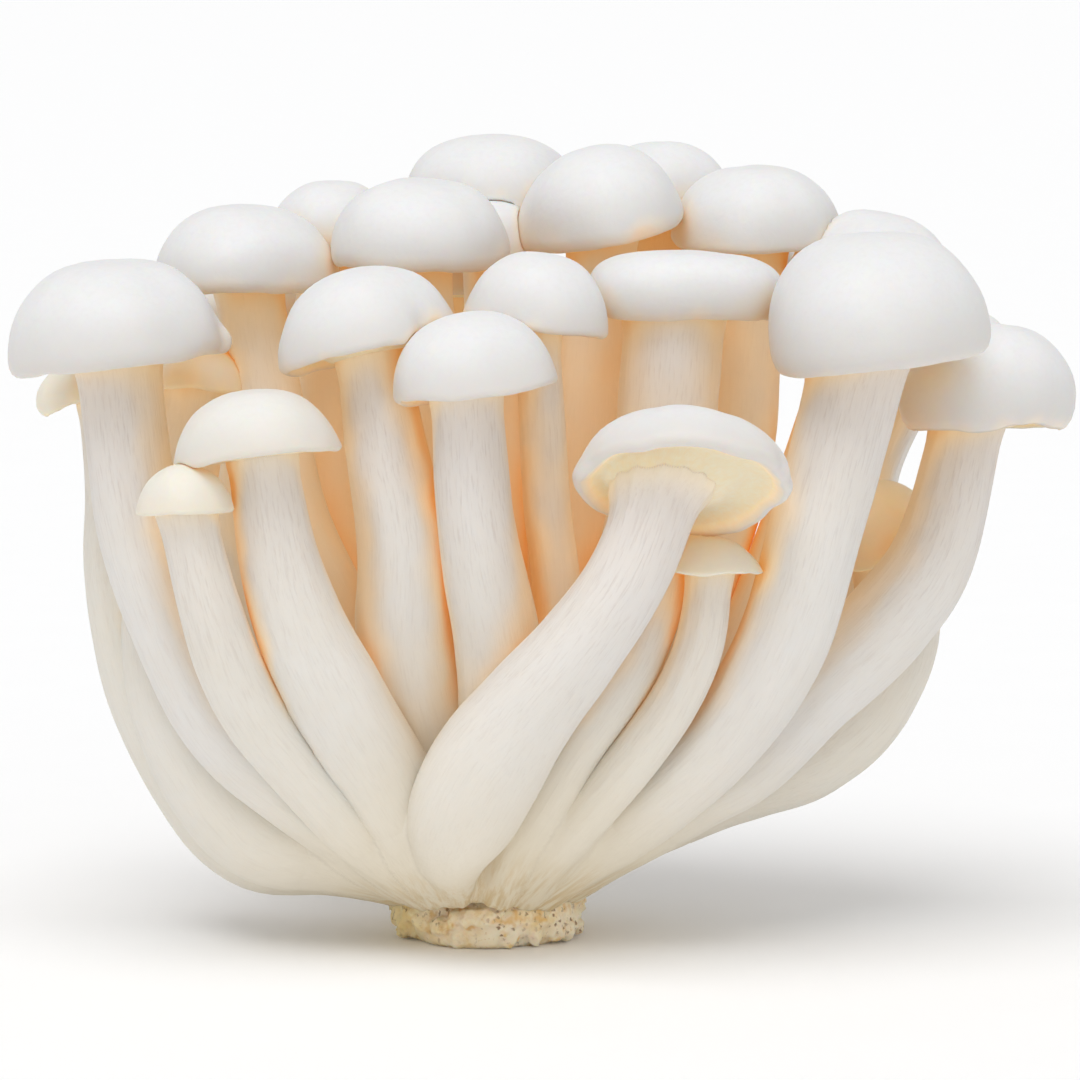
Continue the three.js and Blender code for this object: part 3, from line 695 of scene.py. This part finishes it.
class Nodes:
    """A short way to write a material's nodes."""

    def __init__(self, name):
        self.material = bpy.data.materials.new(name)
        self.material.use_nodes = True
        # The weak glow is met by rays on their way, and isn't aimed at as a lamp is.
        self.material.cycles.emission_sampling = "NONE"
        self.tree = self.material.node_tree
        self.tree.nodes.clear()
        out = self.tree.nodes.new("ShaderNodeOutputMaterial")
        self.shader = self.tree.nodes.new("ShaderNodeBsdfPrincipled")
        self.tree.links.new(self.shader.outputs[0], out.inputs[0])
        self.place = self.tree.nodes.new("ShaderNodeTexCoord").outputs["Object"]

    def add(self, kind, links=(), **settings):
        """A new node with its inputs linked and its settings or unlinked inputs set."""
        node = self.tree.nodes.new("ShaderNode" + kind)
        for key, value in settings.items():
            if hasattr(node, key):
                setattr(node, key, value)
            else:
                node.inputs[key.replace("_", " ")].default_value = value
        for socket, source in dict(links).items():
            self.link(source, node.inputs[socket])
        return node

    def link(self, source, socket):
        self.tree.links.new(source.outputs[0] if hasattr(source, "outputs") else source, socket)

    def put(self, value, socket):
        """Links a socket to a source, or sets it to a number or a colour."""
        if hasattr(value, "is_output"):
            self.link(value, socket)
        else:
            socket.default_value = (*value, 1) if hasattr(value, "__len__") else value

    def attribute(self, name, output="Fac"):
        node = self.add("Attribute", attribute_name=name)
        return node.outputs[output]

    def scaled(self, source, scale):
        return self.add("Mapping", {"Vector": source}, Scale=scale).outputs[0]

    def noise(self, source, scale, detail=3.0, roughness=0.55):
        node = self.add("TexNoise", {"Vector": source}, Scale=scale, Detail=detail,
                        Roughness=roughness)
        return node.outputs["Fac"]

    def cells(self, source, scale):
        return self.add("TexVoronoi", {"Vector": source}, Scale=scale).outputs["Distance"]

    def steps(self, source, *stops):
        """Colours or greys along a 0 to 1 value."""
        node = self.add("ValToRGB", {"Fac": source})
        bar = node.color_ramp
        while len(bar.elements) < len(stops):
            bar.elements.new(0.5)
        for element, (place, colour) in zip(bar.elements, stops):
            element.position = place
            if not hasattr(colour, "__len__"):
                colour = (colour,) * 3
            element.color = (*colour, 1)
        return node.outputs[0]

    def mix(self, factor, a, b, how="MIX"):
        node = self.add("Mix", data_type="RGBA", blend_type=how)
        for value, index in ((factor, 0), (a, 6), (b, 7)):
            self.put(value, node.inputs[index])
        return node.outputs[2]

    def maths(self, how, a, b):
        node = self.add("Math", operation=how)
        self.put(a, node.inputs[0])
        self.put(b, node.inputs[1])
        return node.outputs[0]

    def spread(self, source, low, high, to_low, to_high, how="LINEAR"):
        node = self.add("MapRange", {"Value": source}, interpolation_type=how, From_Min=low,
                        From_Max=high, To_Min=to_low, To_Max=to_high)
        return node.outputs[0]

    def smooth(self, source, low, high):
        """1 up to low, 0 from high on, and smooth between them."""
        return self.spread(source, low, high, 1.0, 0.0, "SMOOTHSTEP")

    def bump(self, height, distance, strength=1.0, under=None):
        """A normal from a height, on top of another bump if there is one."""
        node = self.add("Bump", {"Height": height}, Strength=strength, Distance=distance)
        if under is not None:
            self.link(under, node.inputs["Normal"])
        return node.outputs[0]

    def finish(self, colour, roughness, normal, glow=None, **constants):
        """Links the shader, sets what is the same all over, and gives the material."""
        self.link(colour, self.shader.inputs["Base Color"])
        self.link(roughness, self.shader.inputs["Roughness"])
        self.link(normal, self.shader.inputs["Normal"])
        if glow is not None:
            self.link(glow, self.shader.inputs["Emission Color"])
        for key, value in constants.items():
            self.shader.inputs[key.replace("_", " ")].default_value = value
        return self.material


PEACH = (0.96, 0.745, 0.49)
AMBER = (0.94, 0.47, 0.11)
# The weak glow stands in for light that comes through the flesh.
GLOW_PEACH = (0.075, 0.063, 0.033)
GLOW_AMBER = (0.15, 0.065, 0.012)
GLOW_GILL = (0.15, 0.115, 0.055)
GILL = (0.91, 0.73, 0.47)
GILL_LIGHT = (0.92, 0.785, 0.58)
CREAM = (0.82, 0.76, 0.60)
SCATTER = (1.0, 0.62, 0.36)
FLESH = dict(Subsurface_Weight=0.6, Subsurface_Radius=SCATTER, Subsurface_Scale=0.0018,
             Emission_Strength=1.0, IOR=1.38)


def painted_crevice_light(n, colour):
    """Painted light deep in the bunch: where little light gets in, the colour is painted peach,
    then amber, and a weak glow is added, standing in for light that has passed through the flesh.
    """
    colour = n.mix(n.attribute("cream"), colour, CREAM)
    high = n.spread(n.add("SeparateXYZ", {"Vector": n.place}).outputs["Z"], 0.022, 0.044, 0, 1)
    high = n.maths("MULTIPLY", high, n.attribute("painted_light"))
    shut = n.maths("MULTIPLY", n.smooth(n.attribute("open"), 0.12, 0.70), high)
    deep = n.maths("MULTIPLY", n.smooth(n.attribute("open"), 0.0, 0.28), high)
    # Painted shade and glow: peach, then amber, where the place is shut off from the sky.
    colour = n.mix(deep, n.mix(shut, colour, PEACH), AMBER)
    glow = n.mix(deep, n.mix(shut, (0.0, 0.0, 0.0), GLOW_PEACH), GLOW_AMBER)
    return colour, glow


def cap_material():
    """White skin, fine-grained, with painted shade low on the dome and painted light deep in the
    bunch, and cream gills with a painted glow.
    """
    n = Nodes("mushroom_cap")
    place = n.place
    broad = n.noise(place, 190, 2)
    fine = n.noise(place, 1500, 3)
    skin = n.mix(n.spread(broad, 0.35, 0.7, 0, 1), (0.775, 0.777, 0.785), (0.765, 0.763, 0.76))
    skin = n.mix(n.spread(fine, 0.45, 0.75, 0, 0.4), skin, (0.725, 0.718, 0.71))
    # Painted shade: the lower dome is painted darker, as the light from above reaches it less.
    skin = n.mix(n.attribute("low"), skin, (0.69, 0.673, 0.648))
    tinted, glow = painted_crevice_light(n, skin)
    gills = n.mix(n.spread(fine, 0.3, 0.7, 0, 1), GILL, GILL_LIGHT)
    colour = n.mix(n.attribute("gill"), tinted, gills)
    # Painted light: the gills take a weak glow.
    glow = n.mix(n.attribute("gill"), glow, GLOW_GILL)
    roughness = n.spread(n.noise(place, 700, 3), 0.3, 0.7, 0.44, 0.6)
    grain = n.bump(fine, 0.00006, 0.5)
    normal = n.bump(n.noise(place, 420, 2), 0.0002, 0.35, grain)
    return n.finish(colour, roughness, normal, glow, **FLESH)


def stem_material(name):
    """Pale flesh with faint streaks along the grain, yellower towards the foot, with painted shade
    towards the cap and painted light deep in the bunch.
    """
    n = Nodes(name)
    place = n.place
    grain = n.attribute("grain", "Vector")
    upper = n.spread(n.attribute("upper"), 0, 1, 0.22, 1.0)
    strands = n.noise(n.scaled(grain, (1.1, 1.1, 0.09)), 1.0, 4, 0.6)
    hairs = n.noise(n.scaled(grain, (4.4, 4.4, 0.36)), 1.0, 3, 0.6)
    broad = n.noise(place, 110, 2)
    skin = n.mix(n.spread(broad, 0.3, 0.7, 0, 1), (0.775, 0.75, 0.715), (0.765, 0.73, 0.675))
    skin = n.mix(n.maths("MULTIPLY", n.spread(strands, 0.46, 0.74, 0, 0.55), upper), skin,
                 (0.655, 0.61, 0.575))
    skin = n.mix(n.maths("MULTIPLY", n.spread(hairs, 0.52, 0.72, 0, 0.7), upper), skin,
                 (0.54, 0.475, 0.43))
    reach = n.add("VectorMath", {"Vector": place}, operation="DISTANCE")
    reach.inputs[1].default_value = (0, 0, 0.004)
    near = n.spread(reach.outputs["Value"], 0.006, 0.040, 1.0, 0.0)
    skin = n.mix(near, skin, (0.82, 0.72, 0.525))
    foot = n.spread(reach.outputs["Value"], 0.0095, 0.020, 1.0, 0.0)
    threads = n.spread(n.noise(n.scaled(grain, (1.6, 1.6, 0.16)), 1.0, 3, 0.6), 0.42, 0.62, 0, 0.9)
    skin = n.mix(n.maths("MULTIPLY", threads, foot), skin, (0.63, 0.45, 0.20))
    # Painted shade: darker and pinker towards the cap, where the cap shades the stem.
    skin = n.mix(n.spread(n.attribute("upper"), 0.1, 1, 0, 0.5), skin, (0.72, 0.645, 0.60))
    colour, glow = painted_crevice_light(n, skin)
    neck = n.attribute("neck")
    colour = n.mix(neck, colour, GILL_LIGHT)
    roughness = n.spread(strands, 0.3, 0.7, 0.5, 0.7)
    fibre = n.bump(hairs, 0.00008, 0.35)
    normal = n.bump(strands, 0.00022, 0.25, fibre)
    # The quicker way of scattering light is enough for smooth stems, but not for gills.
    n.shader.subsurface_method = "BURLEY"
    inside = n.spread(reach.outputs["Value"], *SEAM_IN, FLESH["Subsurface_Weight"], 0)
    outside = n.spread(reach.outputs["Value"], *SEAM_OUT, 0, FLESH["Subsurface_Weight"])
    n.link(n.maths("ADD", inside, outside), n.shader.inputs["Subsurface Weight"])
    return n.finish(colour, roughness, normal, glow, **FLESH)


def stub_material():
    """Pale crumbs of growing medium with ochre patches and small dark specks, browner in the
    crumbs' hollows: partly the medium's own colour, partly painted shade.
    """
    n = Nodes("growing_medium")
    place = n.place
    chunks = n.noise(place, 300, 4, 0.6)
    clusters = n.noise(place, 170, 2)
    warp = n.add("TexNoise", {"Vector": place}, Scale=900.0).outputs["Color"]
    warped = n.add("VectorMath", {0: n.scaled(place, (1, 1, 0.8)), 1: n.scaled(warp, (3e-4,) * 3)})
    specks = n.cells(warped, 1250)
    grains = n.noise(place, 2200, 3, 0.6)
    # Browner where the crumbs are low: partly the medium's own brown, partly painted shade in the
    # hollows.
    colour = n.steps(chunks, (0.27, (0.66, 0.42, 0.16)), (0.40, (0.92, 0.73, 0.44)),
                     (0.52, (0.97, 0.82, 0.60)), (0.74, (0.98, 0.87, 0.69)))
    ochre = n.spread(n.noise(place, 520, 2), 0.54, 0.66, 0, 0.75)
    colour = n.mix(ochre, colour, (0.80, 0.50, 0.16))
    left = n.spread(n.add("SeparateXYZ", {"Vector": place}).outputs["X"], -0.0095, -0.0055, 0.7, 0)
    colour = n.mix(left, colour, (0.88, 0.72, 0.36))
    crowd = n.spread(clusters, 0.42, 0.58, 0.15, 1.0)
    ragged = n.maths("ADD", specks, n.spread(n.noise(place, 2600, 2), 0.35, 0.65, 0, 0.3))
    dark = n.maths("MULTIPLY", n.spread(ragged, 0.26, 0.46, 0.9, 0), crowd)
    colour = n.mix(dark, colour, (0.29, 0.17, 0.08))
    colour = n.mix(n.spread(grains, 0.62, 0.70, 0, 0.4), colour, (0.70, 0.44, 0.15))
    roughness = n.spread(grains, 0.3, 0.7, 0.6, 0.9)
    normal = n.bump(grains, 0.0002, 0.5, n.bump(chunks, 0.0008, 0.4))
    return n.finish(colour, roughness, normal, Subsurface_Weight=0.4, Subsurface_Scale=0.001,
                    Subsurface_Radius=SCATTER)


# Building the bunch

def build_mushrooms(lines):
    """Caps and stems in their order of precedence: a later one gives way to the earlier ones."""
    made = {}
    done = []
    for index, (name, m) in enumerate(MUSHROOMS.items()):
        seed = index + 1
        line = lines[name]
        cap_points, cap_faces, gill, low = cap_shape(name, m, seed)
        cap_points = pressed(cap_points, cap_faces, done, np.ones(len(cap_points)), 6.0)
        split = split_length(line)
        end = line["length"][-1] + min(2.4, 0.3 * m["height"])
        share = np.linspace(0, 1, STEM_RINGS)
        s = split - OVERLAP + (end - split + OVERLAP) * share
        offset = -SINK * (1 - ramp(s, split - OVERLAP, split))
        points, faces, grain = tube(line, seed, s, STEM_SIDES, offset, m, detail(name, "flare"))
        away = np.linalg.norm(points - BASE_MIDDLE, axis=1)
        own = tree_of(cap_points, cap_faces)
        points = pressed(points, faces, done, ramp(away, 24, 34), 2.6)
        made[name] = dict(cap=(cap_points, cap_faces, gill, low), stem=(points, faces, grain))
        done.append(own)
        done.append(tree_of(points, faces))
    return made


def remeshed(name, points, faces, size):
    """One closed skin round all the closed shells given."""
    rough = make_object(name + "_rough", points, faces)
    remesh = rough.modifiers.new("skin", "REMESH")
    remesh.mode = "VOXEL"
    remesh.voxel_size = size * MM
    remesh.adaptivity = 0
    graph = bpy.context.evaluated_depsgraph_get()
    skin = rough.evaluated_get(graph).to_mesh()
    count = len(skin.vertices)
    co = np.empty(count * 3, np.float32)
    skin.vertices.foreach_get("co", co)
    new_faces = [tuple(f.vertices) for f in skin.polygons]
    rough.evaluated_get(graph).to_mesh_clear()
    mesh = rough.data
    bpy.data.objects.remove(rough)
    bpy.data.meshes.remove(mesh)
    return co.reshape(-1, 3).astype(float) / MM, new_faces


def normals_of(points, faces):
    """Point normals from quads and triangles."""
    corners = np.array([f[:3] for f in faces])
    a, b, c = (points[corners[:, k]] for k in range(3))
    flat = np.cross(b - a, c - a)
    total = np.zeros_like(points)
    for k in range(3):
        for axis in range(3):
            total[:, axis] += np.bincount(corners[:, k], flat[:, axis], len(points))
    fourth = [(f[3], i) for i, f in enumerate(faces) if len(f) > 3]
    if fourth:
        ids, rows = np.array(fourth).T
        for axis in range(3):
            total[:, axis] += np.bincount(ids, flat[rows, axis], len(points))
    return total / np.maximum(np.linalg.norm(total, axis=1), 1e-9)[:, None]


def turned_shell(outline, sides, seed, uneven):
    """A closed lumpy shell turned about the upright axis, from radius and height pairs."""
    angle = np.linspace(0, 2 * math.pi, sides, endpoint=False)
    ring = np.stack([np.cos(angle), np.sin(angle)], 1)
    rows = []
    for r, z in outline:
        lump = 1 + uneven * noise(np.column_stack([ring * 2.2, np.full(sides, z / 4)]), seed)
        rows.append(np.column_stack([ring * (r * lump)[:, None], np.full(sides, z)]))
    points = np.vstack([*rows, [[0, 0, outline[0][1]]], [[0, 0, outline[-1][1]]]])
    return points, tube_faces(len(outline), sides)


def joined(parts):
    """The points and faces of several shells as one list each."""
    points, faces = [], []
    for p, f in parts:
        start = sum(len(x) for x in points)
        points.append(p)
        faces += [tuple(i + start for i in face) for face in f]
    return np.vstack(points), faces


def build_base(lines):
    """The fused base: the feet of all stems and the heel under them in one skin."""
    parts = []
    for index, line in enumerate(lines.values()):
        split = split_length(line)
        s = np.linspace(0, split + OVERLAP, FINGER_RINGS)
        offset = -SINK * ramp(s, split - 1, split + OVERLAP)
        points, faces, _ = tube(line, index + 1, s, FINGER_SIDES, offset)
        parts.append((points, faces))
    heel = [(8.6, 5.0), (10.4, 7.0), (12.8, 9.5), (12.4, 12.5), (9.5, 16.0)]
    parts.append(turned_shell(heel, 40, 91, 0.05))
    points, faces = remeshed("fused_base", *joined(parts), BASE_VOXEL)
    pairs = links(faces)

    # The creases are filled, least on the right and beside the tilted mushroom's foot.
    away = np.linalg.norm(points - BASE_MIDDLE, axis=1)
    right = ramp(points[:, 0], -2, 5)
    soft = (1 - ramp(away, 19 - 5 * right, 22.8)) * (1 - 0.7 * right)
    centre, radius, *_ = at_length(lines["front_tilted"], np.linspace(0, 26, 60))
    apart = np.linalg.norm(points[:, None] - centre[None], axis=2) - radius[None]
    soft *= 1 - 0.88 * (1 - ramp(apart.min(1), 0.6, 3.0)) * ramp(points[:, 2], 5.6, 7.5)
    normal = normals_of(points, faces)
    for step in range(FILL_STEPS):
        move = neighbour_mean(points, pairs) - points
        out = (move * normal).sum(1)
        gain = np.where(out > 0, 0.9, 0.04) * soft
        even = 0.25 * (1 - soft) if step < 3 else 0
        points = points + move * (gain + even)[:, None]
        if step % 6 == 5:
            normal = normals_of(points, faces)

    # Fine ribs run down to the stub.
    normal = normals_of(points, faces)
    low = 1 - ramp(np.linalg.norm(points - BASE_MIDDLE, axis=1), 8, 17)
    turn = np.arctan2(points[:, 1], points[:, 0])
    ring = np.column_stack([np.cos(turn), np.sin(turn)])
    ribs = noise(np.column_stack([ring * 7, points[:, 2] / 8]), 63)
    ribs += 0.5 * noise(np.column_stack([ring * 15, points[:, 2] / 5]), 64)
    rough = layered(points / 1.1, 61, 2)
    points = points + normal * ((0.13 * rough + 0.5 * ribs) * low)[:, None]
    return points, faces


def nearest_grain(points, lines):
    """Each point's place in the grain of the stem it is part of."""
    best = np.full(len(points), np.inf)
    grain = np.zeros_like(points)
    for index, line in enumerate(lines.values()):
        seed = index + 1
        s = np.linspace(0, split_length(line) + OVERLAP, 40)
        centre, radius, tangent, side, over = at_length(line, s)
        apart = points[:, None, :] - centre[None]
        ratio = np.linalg.norm(apart, axis=2) / radius[None]
        at = ratio.argmin(1)
        rows = np.arange(len(points))
        value = ratio[rows, at]
        gap = apart[rows, at]
        along = (gap * tangent[at]).sum(1)
        place = grain_place((gap * side[at]).sum(1), (gap * over[at]).sum(1), s[at] + along, seed)
        closer = value < best
        grain[closer] = place[closer]
        best[closer] = value[closer]
    return grain


def build_stub():
    """The crumbly stub: a lumpy disc of growing medium with crumbs, flat where it was cut."""
    outline = [(8.9, 0.0), (9.5, 0.5), (10.0, 1.6), (10.3, 2.8), (10.0, 4.2), (8.9, 5.6)]
    parts = [turned_shell(outline, 60, 71, 0.09)]
    rng = np.random.default_rng(72)
    rows = [(0.35, -0.9), (0.8, -0.55), (1, 0), (0.8, 0.55), (0.35, 0.9)]
    crumbs = [(rng.uniform(0, 360), rng.uniform(0.7, 5.9), rng.uniform(0.45, 1.5))
              for _ in range(CRUMBS)]
    crumbs += LARGE_CRUMBS
    for turn, height, size in crumbs:
        turn = math.radians(turn)
        out = 9.5 + rng.uniform(-0.3, 0.7) - 0.06 * (height - 3) ** 2
        centre = np.array([out * math.cos(turn), out * math.sin(turn), max(height, 0.75 * size)])
        shell, faces = turned_shell(rows, 10, int(rng.integers(1000)), 0.4)
        spin = Quaternion(Vector(rng.normal(size=3)).normalized(), rng.uniform(0, 6.28))
        shell = shell * size @ np.array(spin.to_matrix()).T + centre
        parts.append((shell, faces))
    points, faces = remeshed("substrate_stub", *joined(parts), STUB_VOXEL)
    normal = normals_of(points, faces)
    chunk = layered(points / 1.7, 81, 3)
    pits = np.maximum(0, noise(points / 0.95, 85) - 0.2)
    side = ramp(points[:, 2], 0.1, 0.9)
    points = points + normal * ((0.34 * chunk - 0.5 * pits) * side)[:, None]
    points[:, 2] = np.maximum(points[:, 2], 0)
    return points, faces


def dress(obj, material, slot, *nodes):
    """Gives a piece its material, and says what it rides on and which nodes it replaces."""
    obj.data.materials.append(material)
    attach(obj, "root")
    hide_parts(*nodes)


def build_all():
    lines = {name: stem_line(m) for name, m in MUSHROOMS.items()}
    cap_look, stem_look = cap_material(), stem_material("mushroom_stem")
    base_look, stub_look = stem_material("mushroom_base"), stub_material()
    for name, made in build_mushrooms(lines).items():
        points, faces, gill, low = made["cap"]
        cream, painted_light = detail(name, "cream"), detail(name, "painted_light")
        cap = make_object("cap_" + name + "_flesh", points, faces,
                          {"gill": gill, "low": low, "cream": np.full(len(points), cream),
                           "painted_light": np.full(len(points), painted_light)})
        add_openness(cap, CAP_PLACES)
        dress(cap, cap_look, "cap", "cap_" + name)
        points, faces, grain = made["stem"]
        away = np.linalg.norm(points - BASE_MIDDLE, axis=1)
        left = below_gills(MUSHROOMS[name], points)
        neck = detail(name, "neck")
        stem = make_object("stem_" + name + "_flesh", points, faces, {
            "grain": grain, "upper": np.exp(-(left / 15) ** 2), "painted_light": np.ones(len(points)),
            "cream": 0.4 * cream * ramp(away, 18, 42), "neck": neck * np.exp(-(left / 1.8) ** 2)})
        add_openness(stem, STEM_PLACES)
        dress(stem, stem_look, "stem", "stem_" + name)
    points, faces = build_base(lines)
    base = make_object("fused_base_flesh", points, faces,
                       {"grain": nearest_grain(points, lines), "painted_light": np.ones(len(points)),
                        **dict.fromkeys(("upper", "cream", "neck"), np.zeros(len(points)))})
    add_openness(base, BASE_PLACES)
    dress(base, base_look, "base", "fused_base")
    points, faces = build_stub()
    stub = make_object("substrate_stub_crumbs", points, faces)
    add_openness(stub, STUB_PLACES)
    dress(stub, stub_look, "stub", "substrate_stub")


# Floor, light and camera

def build_studio():
    n = Nodes("pale_floor")
    place = n.place
    grain = n.noise(place, 60, 3)
    colour = n.mix(grain, (0.965, 0.967, 0.97), (0.975, 0.977, 0.98))
    n.finish(colour, n.spread(grain, 0, 1, 0.7, 0.8), n.bump(grain, 0.0001, 0.2))
    half = FLOOR_HALF
    corners = [[-half, -half, 0], [half, -half, 0], [half, half, 0], [-half, half, 0]]
    floor = make_object("floor", corners, [(0, 1, 2, 3)])
    floor.data.materials.append(n.material)

    world = bpy.data.worlds.new("studio")
    world.use_nodes = True
    background = world.node_tree.nodes["Background"]
    background.inputs["Color"].default_value = (1.0, 1.0, 1.0, 1)
    background.inputs["Strength"].default_value = SURROUND
    bpy.context.scene.world = world

    for name, (energy, turn, spread, colour) in SUNS.items():
        data = bpy.data.lights.new(name, "SUN")
        data.energy = energy
        data.angle = math.radians(spread)
        data.color = colour
        light = bpy.data.objects.new(name, data)
        light.rotation_euler = [math.radians(a) for a in turn]
        bpy.context.scene.collection.objects.link(light)

    data = bpy.data.cameras.new("camera")
    data.sensor_width = SENSOR
    data.lens = SENSOR * VIEW_DISTANCE / VIEW_WIDTH
    data.clip_start, data.clip_end = 0.01, 100
    camera = bpy.data.objects.new("camera", data)
    lift = math.radians(VIEW_ELEVATION)
    back = Vector((0, -math.cos(lift), math.sin(lift)))
    camera.location = (Vector(VIEW_TARGET) + back * VIEW_DISTANCE) * MM
    camera.rotation_mode = "QUATERNION"
    camera.rotation_quaternion = (-back).to_track_quat("-Z", "Y")
    bpy.context.scene.collection.objects.link(camera)
    bpy.context.scene.camera = camera
    bpy.context.scene.view_settings.view_transform = "Standard"


build_all()
build_studio()
